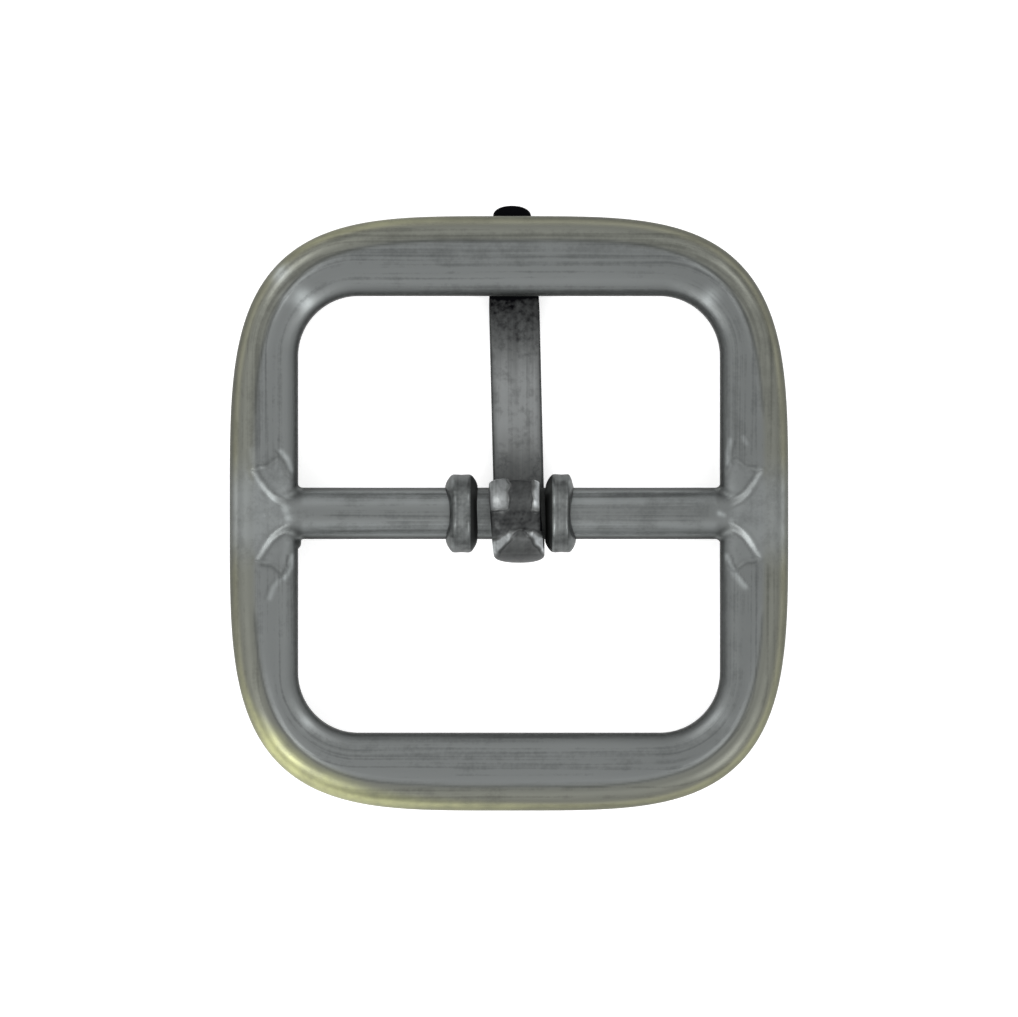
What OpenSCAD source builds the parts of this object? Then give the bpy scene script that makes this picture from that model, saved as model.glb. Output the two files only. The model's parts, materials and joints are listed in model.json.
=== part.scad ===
// Centre-bar belt buckle for a 38 mm strap, lying face up.
// +X runs along the bar, +Y is the way the prong points, +Z comes out of the front.
// The origin is the middle of the bar, on the axis that the prong swings about.

/* [Frame] */
// Outer width, across the two side rails
frame_w = 52.9; // [52:0.1:56]
// Outer height, across the top and bottom rails
frame_h = 56.3; // [55:0.1:60]
// Squareness of the outer outline: 2 is an ellipse, higher is squarer
frame_squareness = 3.8; // [3.6:0.1:4.5]
// Width of the opening, which the strap fills
opening_w = 40; // [39:0.1:40.5]
// Height of the opening, across both windows and the bar
opening_h = 41.4; // [40:0.1:42]
// Middle of the opening above the bar's axis: the top rail is a little wider than the bottom one
opening_y = -0.1; // [-0.2:0.05:0]
// Corner radius of the opening
opening_r = 5.7; // [5:0.1:7]
// Height of the rails' crown above the bar's axis
crown_z = 2.5; // [2.45:0.05:3]
// Depth of the flat back below the bar's axis
back_z = 2.9; // [2.8:0.05:3.2]
// Chamfer along the two edges of the back
back_edge = 0.35; // [0.2:0.05:0.5]

/* [Bar] */
// Diameter of the round centre bar
bar_d = 4.88; // [4.4:0.02:4.88]

/* [Collars] */
// Outer diameter of the two stop collars
collar_d = 7.48; // [6.6:0.02:8]
// Width of a collar along the bar
collar_w = 3.1; // [2.8:0.05:3.2]
// Centre of the left collar along the bar
collar_left_x = -4.5; // [-5:0.05:-4.4]
// Centre of the right collar along the bar
collar_right_x = 4.95; // [4.9:0.05:5.4]
// Gap of the butt seam at the back of a collar
collar_seam = 0.15; // [0.1:0.05:0.3]

/* [Prong] */
// Width of the prong's strip
prong_w = 4.9; // [4.4:0.05:4.9]
// Thickness of the strip along its middle, at the root
prong_t = 2.15; // [1.9:0.05:2.2]
// Thickness of the strip at its two edges, as a share of the middle
prong_edge_share = 0.65; // [0.5:0.05:0.8]
// Depth of the flat ground along the crown of the prong's back
prong_flat = 0.15; // [0.1:0.01:0.2]
// Reach of the tip from the bar's axis
prong_reach = 29.2; // [28.8:0.1:30]
// Middle of the eye along the bar
eye_x = 0.8; // [0.5:0.05:0.8]
// Sideways lean of the strip, in degrees
prong_lean = 1.25; // [0:0.05:1.5]
// How far the strip's tail wraps past the front of the bar, in degrees
tail_wrap = 46; // [30:1:60]
// Radial running clearance of the eye on the bar
eye_clearance = 0.1; // [0.05:0.01:0.1]

/* [Prong rest] */
// Width of the groove across the back of the top rail
rest_w = 6; // [5.6:0.1:6.4]
// Gap between the groove's floor and the resting strip
rest_gap = 0.03; // [0.01:0.01:0.05]

/* [Hidden] */

NICKEL = [0.47, 0.475, 0.465];
DARK_NICKEL = [0.36, 0.37, 0.37];
ROUND_FN = 96;

half_opening = [opening_w, opening_h] / 2;
half_frame = [frame_w, frame_h] / 2;
bar_r = bar_d / 2;

// Stations round the opening: ARC_STEPS in each corner and SIDE_STEPS along each side
ARC_STEPS = 10;
SIDE_STEPS = 10;

// Rail section: [distance in from the inner edge, height], then from the outer edge.
// Both profiles draw in together where a rail is narrower than PROFILE_ROOM.
INNER_PROFILE = [[0, 0.9], [0.15, 1.45], [0.45, 1.95], [1.1, 2.3], [2.2, crown_z]];
OUTER_PROFILE = [[2.6, 2.4], [1.6, 2], [0.8, 1.35], [0.25, 0.55], [0, -0.2]];
PROFILE_ROOM = 4.9;

// Search for the outer outline: the widest that a rail can be, and how often it is halved
WIDEST_RAIL = 14;
HALVINGS = 24;

// How far the bar runs into each side rail
BAR_INTO_RAIL = 2.3;

// How far a cutting block runs past what it cuts
OVERCUT = 1;

// Collar section: straight sides this high above the bar, then a dome in this many steps
COLLAR_WALL = 0.45;
DOME_STEPS = 10;

// Prong: radius of the eye's bore, and the bevel and crown of the strip's section
eye_r = bar_r + eye_clearance;
EDGE_BREAK = 0.15;
CROWN_STEPS = 8;

// Distances from the bar's axis at which the strip starts to thin and to narrow
THINS_FROM = 12;
TAPER_FROM = 19;

// Where the tip's rounding starts, and its size there
TIP_LENGTH = 1;
TIP_HALF_W = 1.8;
TIP_T = 1.6;
tip_from = prong_reach - TIP_LENGTH;

// Tip rounding: its squareness, thickness left at its end, and how near the end the last section is
TIP_SQUARENESS = 2.2;
TIP_END_T_SHARE = 0.45;
TIP_LAST_SHARE = 0.995;

// The strip is this much slimmer than the eye all round, and laps this far into it
STRIP_INSET = 0.03;
ROOT_LAP = 0.25;

// Sections along the strip's body, taper and tip
BODY_STEPS = 6;
TAPER_STEPS = 5;
TIP_STEPS = 6;

function mix(a, b, t) = a + (b - a) * min(1, max(0, t));
function ease(t) = let (u = min(1, max(0, t))) u * u * (3 - 2 * u);

// Below 1 inside the frame's outline, above 1 outside it
function outline(p) =
    pow(abs(p.x) / half_frame.x, frame_squareness) + pow(abs(p.y) / half_frame.y, frame_squareness);

// Distance from p along the unit vector n to the frame's outline, by halving
function reach(p, n, low = 0, high = WIDEST_RAIL, steps = HALVINGS) =
    let (middle = (low + high) / 2)
    steps == 0 ? middle
    : outline(p + n * middle) < 1 ? reach(p, n, middle, high, steps - 1)
    : reach(p, n, low, middle, steps - 1);

function corner_centre(i) =
    [(i == 0 || i == 3 ? 1 : -1) * (half_opening.x - opening_r),
     (i < 2 ? 1 : -1) * (half_opening.y - opening_r) + opening_y];
function corner_point(i, a) = corner_centre(i) + opening_r * [cos(a), sin(a)];

// Each station is [point on the opening's edge, direction away from the opening]
function corner_stations(i) =
    [for (j = [0:ARC_STEPS])
        let (a = 90 * (i + j / ARC_STEPS)) [corner_point(i, a), [cos(a), sin(a)]]];
function side_stations(i) =
    let (a = 90 * (i + 1), from = corner_point(i, a), to = corner_point((i + 1) % 4, a))
    [for (j = [1:SIDE_STEPS - 1]) [from + (to - from) * j / SIDE_STEPS, [cos(a), sin(a)]]];
stations = [for (i = [0:3]) each concat(corner_stations(i), side_stations(i))];

function rail_profile(w) =
    let (fit = min(1, w / PROFILE_ROOM))
    concat(
        [[back_edge, -back_z], [0, back_edge - back_z]],
        [for (p = INNER_PROFILE) [p.x * fit, p.y]],
        [for (p = OUTER_PROFILE) [w - p.x * fit, p.y]],
        [[w, back_edge - back_z], [w - back_edge, -back_z]]);
function rail_section(station) =
    let (w = reach(station[0], station[1]))
    [for (p = rail_profile(w)) let (q = station[0] + station[1] * p.x) [q.x, q.y, p.y]];

// Two triangles between points j and j + 1 of the rings of m points that start at a and b
function patch(a, b, j, m) =
    let (k = (j + 1) % m) [[a + j, b + j, b + k], [a + j, b + k, a + k]];

// Sections swept once round, closed on themselves
module closed_sweep(sections) {
    m = len(sections[0]);
    n = len(sections);
    polyhedron(
        points = [for (s = sections) each s],
        faces = [for (i = [0:n - 1], j = [0:m - 1]) each patch(i * m, (i + 1) % n * m, j, m)],
        convexity = 8);
}

// Sections swept from end to end, capped at both
module open_sweep(sections) {
    m = len(sections[0]);
    n = len(sections);
    polyhedron(
        points = [for (s = sections) each s],
        faces = concat(
            [for (i = [0:n - 2], j = [0:m - 1]) each patch(i * m, (i + 1) * m, j, m)],
            [[for (j = [0:m - 1]) j]],
            [[for (j = [0:m - 1]) n * m - 1 - j]]),
        convexity = 4);
}

// Strip section, flat inside and crowned outside: [across, depth from the flat face]
function strip_section(half_w, t) =
    let (edge_t = t * prong_edge_share)
    concat(
        [[-half_w, EDGE_BREAK], [EDGE_BREAK - half_w, 0],
         [half_w - EDGE_BREAK, 0], [half_w, EDGE_BREAK]],
        [for (j = [0:CROWN_STEPS])
            let (a = 180 * j / CROWN_STEPS)
            [half_w * cos(a), edge_t + (t - edge_t) * sin(a)]]);

// The strip narrows and thins towards a blunt, rounded tip
function tip_round(y) =
    y <= tip_from ? 1
    : pow(1 - pow((y - tip_from) / TIP_LENGTH, TIP_SQUARENESS), 1 / TIP_SQUARENESS);
function strip_half_w(y) =
    mix(prong_w / 2 - STRIP_INSET, TIP_HALF_W, ease((y - TAPER_FROM) / (tip_from - TAPER_FROM)))
    * tip_round(y);
function strip_t(y) =
    mix(prong_t - 2 * STRIP_INSET, TIP_T, (y - THINS_FROM) / (tip_from - THINS_FROM))
    * mix(TIP_END_T_SHARE, 1, tip_round(y));
strip_ys = concat(
    [for (j = [0:BODY_STEPS]) mix(-ROOT_LAP, TAPER_FROM, j / BODY_STEPS)],
    [for (j = [1:TAPER_STEPS]) mix(TAPER_FROM, tip_from, j / TAPER_STEPS)],
    [for (j = [1:TIP_STEPS]) tip_from + TIP_LENGTH * TIP_LAST_SHARE * sin(90 * j / TIP_STEPS)]);
strip_face_z = -eye_r - STRIP_INSET;
function strip_at(y) =
    [for (p = strip_section(strip_half_w(y), strip_t(y)))
        [eye_x - y * tan(prong_lean) + p.x, y, strip_face_z - p.y]];

// Groove floor, just above the strip's flat face
rest_floor_z = strip_face_z + rest_gap;
rest_x = eye_x - (half_opening.y + half_frame.y) / 2 * tan(prong_lean);

module bar() {
    length = opening_w + 2 * BAR_INTO_RAIL;
    rotate([0, 90, 0]) cylinder(h = length, r = bar_r, center = true, $fn = ROUND_FN);
}

module prong_rest() {
    translate([rest_x - rest_w / 2, half_opening.y - OVERCUT, -back_z - OVERCUT])
        cube([rest_w, half_frame.y - half_opening.y + 2 * OVERCUT, rest_floor_z + back_z + OVERCUT]);
}

module frame() {
    color(NICKEL) {
        difference() {
            closed_sweep([for (s = stations) rail_section(s)]);
            prong_rest();
        }
        bar();
    }
}

// Ring closed round the bar, with a domed section and a butt seam at the back
module stop_collar(x) {
    half_w = collar_w / 2;
    wall_r = bar_r + COLLAR_WALL;
    dome = collar_d / 2 - wall_r;
    color(NICKEL) difference() {
        translate([x, 0, 0]) rotate([0, 90, 0]) rotate_extrude($fn = ROUND_FN)
            polygon(concat(
                [[bar_r, half_w], [bar_r, -half_w]],
                [for (j = [0:DOME_STEPS])
                    let (a = 180 * j / DOME_STEPS)
                    [wall_r + dome * sin(a), -half_w * cos(a)]]));
        translate([x - collar_w, -collar_seam / 2, -collar_d])
            cube([2 * collar_w, collar_seam, collar_d]);
    }
}

module stop_collar_left() {
    stop_collar(collar_left_x);
}

module stop_collar_right() {
    stop_collar(collar_right_x);
}

// One strip: its root is wrapped under the bar and up its front, its tail stays open
module prong() {
    wrap = 180 + tail_wrap;
    color(DARK_NICKEL) difference() {
        union() {
            rotate([0, 90, 0]) rotate([0, 0, -wrap]) rotate_extrude(angle = wrap, $fn = ROUND_FN)
                polygon([for (p = strip_section(prong_w / 2, prong_t)) [eye_r + p.y, eye_x + p.x]]);
            open_sweep([for (y = strip_ys) strip_at(y)]);
        }
        translate([eye_x - prong_w, -prong_reach, -eye_r - prong_t - OVERCUT])
            cube([2 * prong_w, 2 * prong_reach + OVERCUT, OVERCUT + prong_flat]);
    }
}

frame();
stop_collar_left();
stop_collar_right();
prong();
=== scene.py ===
"""Looks of a centre-bar belt buckle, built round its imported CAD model.

Lengths are in millimetres until a mesh is made. +X runs along the bar, +Y is the way the prong
points and +Z comes out of the front. The origin is the middle of the bar.
"""

import json
import math

import bpy
import numpy as np
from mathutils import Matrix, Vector


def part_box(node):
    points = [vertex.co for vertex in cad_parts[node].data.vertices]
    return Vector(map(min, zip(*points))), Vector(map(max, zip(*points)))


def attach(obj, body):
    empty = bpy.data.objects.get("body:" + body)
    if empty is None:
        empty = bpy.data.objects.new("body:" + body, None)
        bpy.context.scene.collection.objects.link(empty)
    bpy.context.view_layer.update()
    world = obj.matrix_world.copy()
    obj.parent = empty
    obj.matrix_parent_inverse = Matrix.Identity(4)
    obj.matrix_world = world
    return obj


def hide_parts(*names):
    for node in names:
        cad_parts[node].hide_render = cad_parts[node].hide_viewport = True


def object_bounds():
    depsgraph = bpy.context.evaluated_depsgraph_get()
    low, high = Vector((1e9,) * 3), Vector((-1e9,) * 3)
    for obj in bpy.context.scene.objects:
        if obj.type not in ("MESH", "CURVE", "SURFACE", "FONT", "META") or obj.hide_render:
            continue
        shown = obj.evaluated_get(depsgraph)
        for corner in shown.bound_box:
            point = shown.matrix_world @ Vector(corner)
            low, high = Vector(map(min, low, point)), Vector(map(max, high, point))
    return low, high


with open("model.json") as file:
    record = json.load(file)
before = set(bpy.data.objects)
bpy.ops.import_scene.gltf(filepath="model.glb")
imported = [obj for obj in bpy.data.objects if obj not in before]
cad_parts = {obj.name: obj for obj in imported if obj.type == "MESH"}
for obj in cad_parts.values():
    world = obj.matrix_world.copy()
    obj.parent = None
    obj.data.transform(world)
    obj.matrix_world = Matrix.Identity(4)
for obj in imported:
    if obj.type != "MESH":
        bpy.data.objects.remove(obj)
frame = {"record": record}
cad_low, cad_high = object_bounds()

MM = 0.001
frame_low, frame_high = (np.array(corner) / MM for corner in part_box("frame"))
prong_low, prong_high = (np.array(corner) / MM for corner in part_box("prong"))
bar_size = next(mount["dims"] for mount in frame["record"]["mounts"] if mount["name"] == "strap_bar")

# Points keep this far inside the CAD's box
BOX_GAP = 0.002

# Frame
HALF_W, HALF_H = frame_high[0], frame_high[1]
CROWN_Z, BACK_Z = frame_high[2], frame_low[2]
BAR_R = bar_size["r_mm"]
OPENING_HALF_W, OPENING_HALF_H = bar_size["length_mm"] / 2, 20.7
OPENING_Y = -0.1
OPENING_R = 5.7
# Squareness of the outer outline: 2 is an ellipse, higher is squarer
SQUARENESS = 3.8
BAR_INTO_RAIL = 2.3
# A place further out than this is on a side rail
SIDE_RAIL_X = 15

# Prong: the radius of the eye's bore, the strip's size, and its sideways place and lean
EYE_R = BAR_R + 0.1
STRIP_HALF_W = 2.4
STRIP_T = 2.15
STRIP_ROOT_X, STRIP_LEAN = 0.97, 0.024


# ---------------------------------------------------------------- number helpers

def mix(a, b, t):
    """a where t is 0, b where it is 1, and between them a share of each."""
    return a + (b - a) * t


def ease(t):
    """Smooth step from 0 to 1."""
    t = np.clip(t, 0.0, 1.0)
    return t * t * (3.0 - 2.0 * t)


def rise(value, start, over):
    """0 up to the start, then a smooth climb to 1 over the given stretch."""
    return ease((value - start) / over)


def fall(value, start, over):
    """1 up to the start, then a smooth drop to 0 over the given stretch."""
    return 1.0 - ease((value - start) / over)


def near_line(distance, half_w):
    """1 on a line, and almost nothing beyond twice its half width."""
    return np.exp(-(distance / half_w) ** 2)


def spot(x, y, place, size):
    """1 at a place, fading to almost nothing beyond twice its size."""
    return np.exp(-((x - place[0]) ** 2 + (y - place[1]) ** 2) / size ** 2)


def smooth_max(a, b, k):
    """The larger of two fields, rounded over a width of about k where they cross."""
    h = np.clip(0.5 + 0.5 * (a - b) / k, 0.0, 1.0)
    return mix(b, a, h) + k * h * (1.0 - h)


def smooth_min(a, b, k):
    """The smaller of two fields, rounded in the same way."""
    return -smooth_max(-a, -b, k)


def ripple(x, y, pitch, seed, waves=14):
    """Gentle uneven waves, about -1 to 1, like those left by hand finishing."""
    rng = np.random.default_rng(seed)
    total = np.zeros_like(x)
    for _ in range(waves):
        turn, phase = rng.uniform(0, 2 * math.pi, 2)
        k = 2 * math.pi / (pitch * rng.uniform(0.7, 1.5))
        total += np.sin(k * (x * math.cos(turn) + y * math.sin(turn)) + phase)
    return total / math.sqrt(waves)


# ---------------------------------------------------------------- the frame's shape

def inset(x, y):
    """Distance in from the frame's outer outline."""
    u, v = np.abs(x) / HALF_W, np.abs(y) / HALF_H
    f = np.maximum((u ** SQUARENESS + v ** SQUARENESS) ** (1 / SQUARENESS), 1e-4)
    slope = np.hypot((u / f) ** (SQUARENESS - 1) / HALF_W, (v / f) ** (SQUARENESS - 1) / HALF_H)
    return (1.0 - f) / slope


def from_opening(x, y):
    """Distance out from the opening's rounded edge, as if the bar weren't there."""
    qx = np.abs(x) - (OPENING_HALF_W - OPENING_R)
    qy = np.abs(y - OPENING_Y) - (OPENING_HALF_H - OPENING_R)
    outside = np.hypot(np.maximum(qx, 0), np.maximum(qy, 0))
    return outside + np.minimum(np.maximum(qx, qy), 0) - OPENING_R


# Points on a rounded curve from each corner to the next
CURVE_STEPS = 6


def rounded(corners):
    """A closed smooth curve through a few corners (Catmull-Rom)."""
    corners = np.asarray(corners, float)
    before, after, beyond = (np.roll(corners, shift, axis=0) for shift in (1, -1, -2))
    t = np.arange(CURVE_STEPS)[:, None, None] / CURVE_STEPS
    curve = (2 * corners + (after - before) * t
             + (2 * before - 5 * corners + 4 * after - beyond) * t ** 2
             + (3 * corners - before - 3 * after + beyond) * t ** 3) / 2
    return curve.transpose(1, 0, 2).reshape(-1, 2)


# The inner band of each side rail turns onto the bar, and lies lower than the outer band there.
# This leaf is the one at the upper left. Its first corners are along the step down from the outer band.
LEAF = rounded([(-24.7, 4.1), (-24.25, 3.1), (-23.8, 2.4), (-23.2, 1.6), (-22.1, 0.8), (-20.6, 0.35),
                (-19.0, 1.2), (-19.2, 3.2), (-20.5, 3.9), (-20.95, 4.7), (-21.4, 5.35), (-21.95, 5.6),
                (-22.5, 5.3), (-23.1, 4.85), (-23.9, 4.75)])
LEAF_STEP_CORNERS = 6
LEAF_STEP_END = (LEAF_STEP_CORNERS - 1) * CURVE_STEPS
# Width of the slope down into a leaf, its depth beside the step and far from it, and the distance
# over which the one runs into the other
LEAF_WALL = 0.8
LEAF_DEPTH, LEAF_DEPTH_FAR, LEAF_RISE = 0.25, 0.1, 1.8
# The others mirror it, by their side and whether they are above the bar. Each is then moved this
# far towards the middle, and this far away from the bar
LEAF_SHIFTS = {(-1, 1): (0.08, 0.08), (-1, -1): (0.48, 0.45),
               (1, 1): (0.5, 0.0), (1, -1): (0.6, 0.2)}
# The leaves lie beyond this X and within this Y. Anywhere else counts as this far outside them
LEAVES_FROM_X, LEAVES_TO_Y = 18.5, 7.5
FAR = 9.0


def from_line(x, y, points):
    """Distance from a chain of straight pieces."""
    best = np.full_like(x, np.inf)
    for (ax, ay), (bx, by) in zip(points[:-1], points[1:]):
        ex, ey = bx - ax, by - ay
        px, py = x - ax, y - ay
        t = np.clip((px * ex + py * ey) / (ex * ex + ey * ey), 0, 1)
        best = np.minimum(best, np.hypot(px - ex * t, py - ey * t))
    return best


def inside_ring(x, y, points):
    """Whether each place is inside a closed chain."""
    within = np.zeros(x.shape, bool)
    for (ax, ay), (bx, by) in zip(points[:-1], points[1:]):
        if ay != by:
            within ^= ((ay > y) != (by > y)) & (x < ax + (bx - ax) * (y - ay) / (by - ay))
    return within


def leaf_place(x, y):
    """Distance in from the edge of the nearest leaf, and distance from its step."""
    inside, from_step = np.full_like(x, -FAR), np.full_like(x, FAR)
    near = (np.abs(x) > LEAVES_FROM_X) & (np.abs(y) < LEAVES_TO_Y)
    ring = np.vstack([LEAF, LEAF[:1]])
    for (side, up), (dx, dy) in LEAF_SHIFTS.items():
        here = near & (x * side >= 0) & (y * up >= 0)
        u, v = -np.abs(x[here]) - dx, np.abs(y[here]) - dy
        away = from_line(u, v, ring)
        inside[here] = np.where(inside_ring(u, v, ring), away, -away)
        from_step[here] = from_line(u, v, LEAF[:LEAF_STEP_END])
    return inside, from_step


def leaf_drop(x, y):
    """How far a leaf lies below the outer band: most beside the step, and less away from it."""
    inside, from_step = leaf_place(x, y)
    depth = mix(LEAF_DEPTH, LEAF_DEPTH_FAR, rise(from_step, LEAF_WALL, LEAF_RISE))
    return depth * ease(inside / LEAF_WALL)


# The line along the rails: its place in from the outline, half width and depth, and where it
# starts to come back above and below the bar
GROOVE_IN, GROOVE_HALF_W, GROOVE_DEPTH = 2.35, 0.6, 0.08
GROOVE_FROM_Y, GROOVE_FADE = 8.2, 2.0


def groove_strength(x, y):
    """The line along the rails fades out beside the bar."""
    return 1.0 - fall(np.abs(y), GROOVE_FROM_Y, GROOVE_FADE) * (np.abs(x) > SIDE_RAIL_X)


def groove(x, y, d_out):
    """Depth of the line along the rails."""
    v = np.clip(1.0 - np.abs(d_out - GROOVE_IN) / GROOVE_HALF_W, 0.0, 1.0)
    return GROOVE_DEPTH * ease(v) * groove_strength(x, y)


# Each edge of a rail rounds over into the crown: across this width, from this height, and with this
# power (2 is a quarter of an ellipse, higher is squarer)
INNER_ROUND, INNER_LOW, INNER_POWER = 2.7, 0.85, 2.15
OUTER_ROUND, OUTER_LOW, OUTER_POWER = 2.1, -0.1, 2.1
# The crown is this much lower towards the outline: how much, how far in, and over what width
SHOULDER_FALL, SHOULDER_IN, SHOULDER_W = 0.14, 2.0, 1.6


def rail_corner(d, z, width, low, high, power):
    """Field of a wall at d = 0 that rounds over into a crown at z = high."""
    across = np.maximum((width - d) / width, 0.0)
    up = np.maximum((z - low) / (high - low), 0.0)
    return ((across ** power + up ** power) ** (1 / power) - 1.0) * width


# The groove across the back of the top rail, in which the prong rests
REST_X, REST_HALF_W = 0.27, 3.0
REST_FLOOR = -EYE_R + 0.03
# A small lump of metal at the bar's lower left root
NIB = (-19.95, -2.8, 0.2)
NIB_R, NIB_STRETCH_Y, NIB_STRETCH_Z = 0.28, 1.6, 3.0
# Widths over which one face of the casting runs into the next
BACK_BLEND, REST_BLEND, REST_EDGE_BLEND = 0.45, 0.15, 0.12
BAR_END_BLEND, BAR_ROOT_BLEND, NIB_BLEND = 0.3, 0.55, 0.25
# Uneven waves in the crown: height, pitch and seed
SURFACE_WAVES = ((0.028, 5.5, 3), (0.003, 2.2, 5))


def surface_ripple(x, y):
    return sum(height * ripple(x, y, pitch, seed) for height, pitch, seed in SURFACE_WAVES)


def frame_field(x, y, z):
    """Negative inside the cast frame, zero on its surface."""
    d_in, d_out = from_opening(x, y), inset(x, y)
    lowered = leaf_drop(x, y) * rise(z, -0.4, 1.2)
    zw = z + lowered + groove(x, y, d_out) + surface_ripple(x, y) * rise(z, 0.5, 1.0)
    inner = rail_corner(d_in, zw, INNER_ROUND, INNER_LOW, CROWN_Z, INNER_POWER)
    outer_high = CROWN_Z - SHOULDER_FALL * fall(d_out, SHOULDER_IN, SHOULDER_W)
    outer = rail_corner(d_out, zw, OUTER_ROUND, OUTER_LOW, outer_high, OUTER_POWER)
    ring = smooth_max(np.maximum(inner, outer), BACK_Z - z, BACK_BLEND)
    rest = smooth_max(np.abs(x - REST_X) - REST_HALF_W, z - REST_FLOOR, REST_BLEND)
    ring = smooth_max(ring, -np.maximum(rest, -y), REST_EDGE_BLEND)
    bar = np.hypot(y, z) - BAR_R
    bar = smooth_max(bar, np.abs(x) - OPENING_HALF_W - BAR_INTO_RAIL, BAR_END_BLEND)
    solid = smooth_min(ring, bar, BAR_ROOT_BLEND)
    nib = np.sqrt((x - NIB[0]) ** 2 + ((y - NIB[1]) / NIB_STRETCH_Y) ** 2
                  + ((z - NIB[2]) / NIB_STRETCH_Z) ** 2) - NIB_R
    return smooth_min(solid, nib, NIB_BLEND)


def gradient(field, p, step=0.01):
    """Slope of a field at the rows of p."""
    out = np.empty_like(p)
    for axis in range(3):
        off = np.zeros(3)
        off[axis] = step
        out[:, axis] = (field(*(p + off).T) - field(*(p - off).T)) / (2 * step)
    return out


def settle(field, p, rounds=4, most=0.08):
    """Moves points along the field's slope onto its zero surface."""
    for _ in range(rounds):
        slope = gradient(field, p)
        move = field(*p.T) / np.maximum((slope * slope).sum(1), 0.2)
        p = p - np.clip(slope * move[:, None], -most, most)
    return p


def surface_net(field, low, high, pitch):
    """Quads over a field's zero surface: one point in each grid cell that the surface crosses."""
    axes = [np.arange(a, b + c, c) for a, b, c in zip(low, high, pitch)]
    values = field(*np.meshgrid(*axes, indexing="ij"))
    below = values < 0
    cells = tuple(n - 1 for n in values.shape)
    corner = [slice(0, -1), slice(1, None)]
    count = sum(
        below[corner[i], corner[j], corner[k]].astype(np.int8)
        for i in (0, 1) for j in (0, 1) for k in (0, 1))
    active = np.argwhere((count > 0) & (count < 8))
    index = np.full(cells, -1, np.int64)
    index[tuple(active.T)] = np.arange(len(active))
    total, crossings = np.zeros((len(active), 3)), np.zeros(len(active))
    for axis in range(3):
        others = [a for a in range(3) if a != axis]
        for i in (0, 1):
            for j in (0, 1):
                start = active.copy()
                start[:, others[0]] += i
                start[:, others[1]] += j
                end = start.copy()
                end[:, axis] += 1
                a, b = values[tuple(start.T)], values[tuple(end.T)]
                crossed = (a < 0) != (b < 0)
                t = np.where(crossed, a / np.where(crossed, a - b, 1.0), 0.0)
                point = start.astype(float)
                point[:, axis] += t
                total[crossed] += point[crossed]
                crossings += crossed
    points = np.array(low) + total / crossings[:, None] * np.array(pitch)
    quads = []
    for axis in range(3):
        u, v = (axis + 1) % 3, (axis + 2) % 3
        first = [slice(None)] * 3
        second = [slice(None)] * 3
        first[axis], second[axis] = slice(0, -1), slice(1, None)
        edges = np.argwhere(below[tuple(first)] != below[tuple(second)])
        edges = edges[(edges[:, u] > 0) & (edges[:, v] > 0)]
        edges = edges[(edges[:, u] < cells[u]) & (edges[:, v] < cells[v])]
        ring = []
        for du, dv in ((-1, -1), (0, -1), (0, 0), (-1, 0)):
            cell = edges.copy()
            cell[:, u] += du
            cell[:, v] += dv
            ring.append(index[tuple(cell.T)])
        quad = np.stack(ring, axis=1)
        outward = below[tuple(edges.T)]
        quad[~outward] = quad[~outward][:, ::-1]
        quads.append(quad)
    return points, np.concatenate(quads)


# ---------------------------------------------------------------- mesh helpers

def mesh_object(name, points, faces):
    """A mesh object from points in millimetres and a list or array of faces."""
    mesh = bpy.data.meshes.new(name)
    mesh.from_pydata((np.asarray(points) * MM).tolist(), [], [list(map(int, f)) for f in faces])
    mesh.validate()
    mesh.shade_smooth()
    made = bpy.data.objects.new(name, mesh)
    bpy.context.scene.collection.objects.link(made)
    return made


def points_of(obj):
    """A mesh's points in millimetres, one row each."""
    flat = np.empty(len(obj.data.vertices) * 3)
    obj.data.vertices.foreach_get("co", flat)
    return flat.reshape(-1, 3) / MM


def apply_modifiers(obj):
    """Replaces the object's mesh with what its modifiers make of it."""
    shape = bpy.data.meshes.new_from_object(obj.evaluated_get(bpy.context.evaluated_depsgraph_get()))
    obj.modifiers.clear()
    obj.data = shape
    shape.shade_smooth()


def attribute(obj, name, values):
    """Stores one number, or one vector, for each point of a mesh."""
    values = np.asarray(values, np.float32)
    kind, field = ("FLOAT", "value") if values.ndim == 1 else ("FLOAT_VECTOR", "vector")
    obj.data.attributes.new(name, kind, "POINT").data.foreach_set(field, values.ravel())


def stand_for(obj, node, body, material):
    """Rides a finished piece on its body in place of a CAD node."""
    obj.data.materials.clear()
    obj.data.materials.append(material)
    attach(obj, body)
    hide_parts(node)


def sweep(sections):
    """Points and faces over a row of rings of equal length, with a fan over each end."""
    sections = np.asarray(sections)
    n, m = sections.shape[:2]
    points = np.vstack([sections.reshape(-1, 3), sections[0].mean(0), sections[-1].mean(0)])
    last = (n - 1) * m
    faces = []
    for a in range(0, last, m):
        b = a + m
        faces += [(a + j, b + j, b + (j + 1) % m, a + (j + 1) % m) for j in range(m)]
    faces += [(n * m, j, (j + 1) % m) for j in range(m)]
    faces += [(n * m + 1, last + (j + 1) % m, last + j) for j in range(m)]
    return points, faces


# ---------------------------------------------------------------- materials

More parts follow.
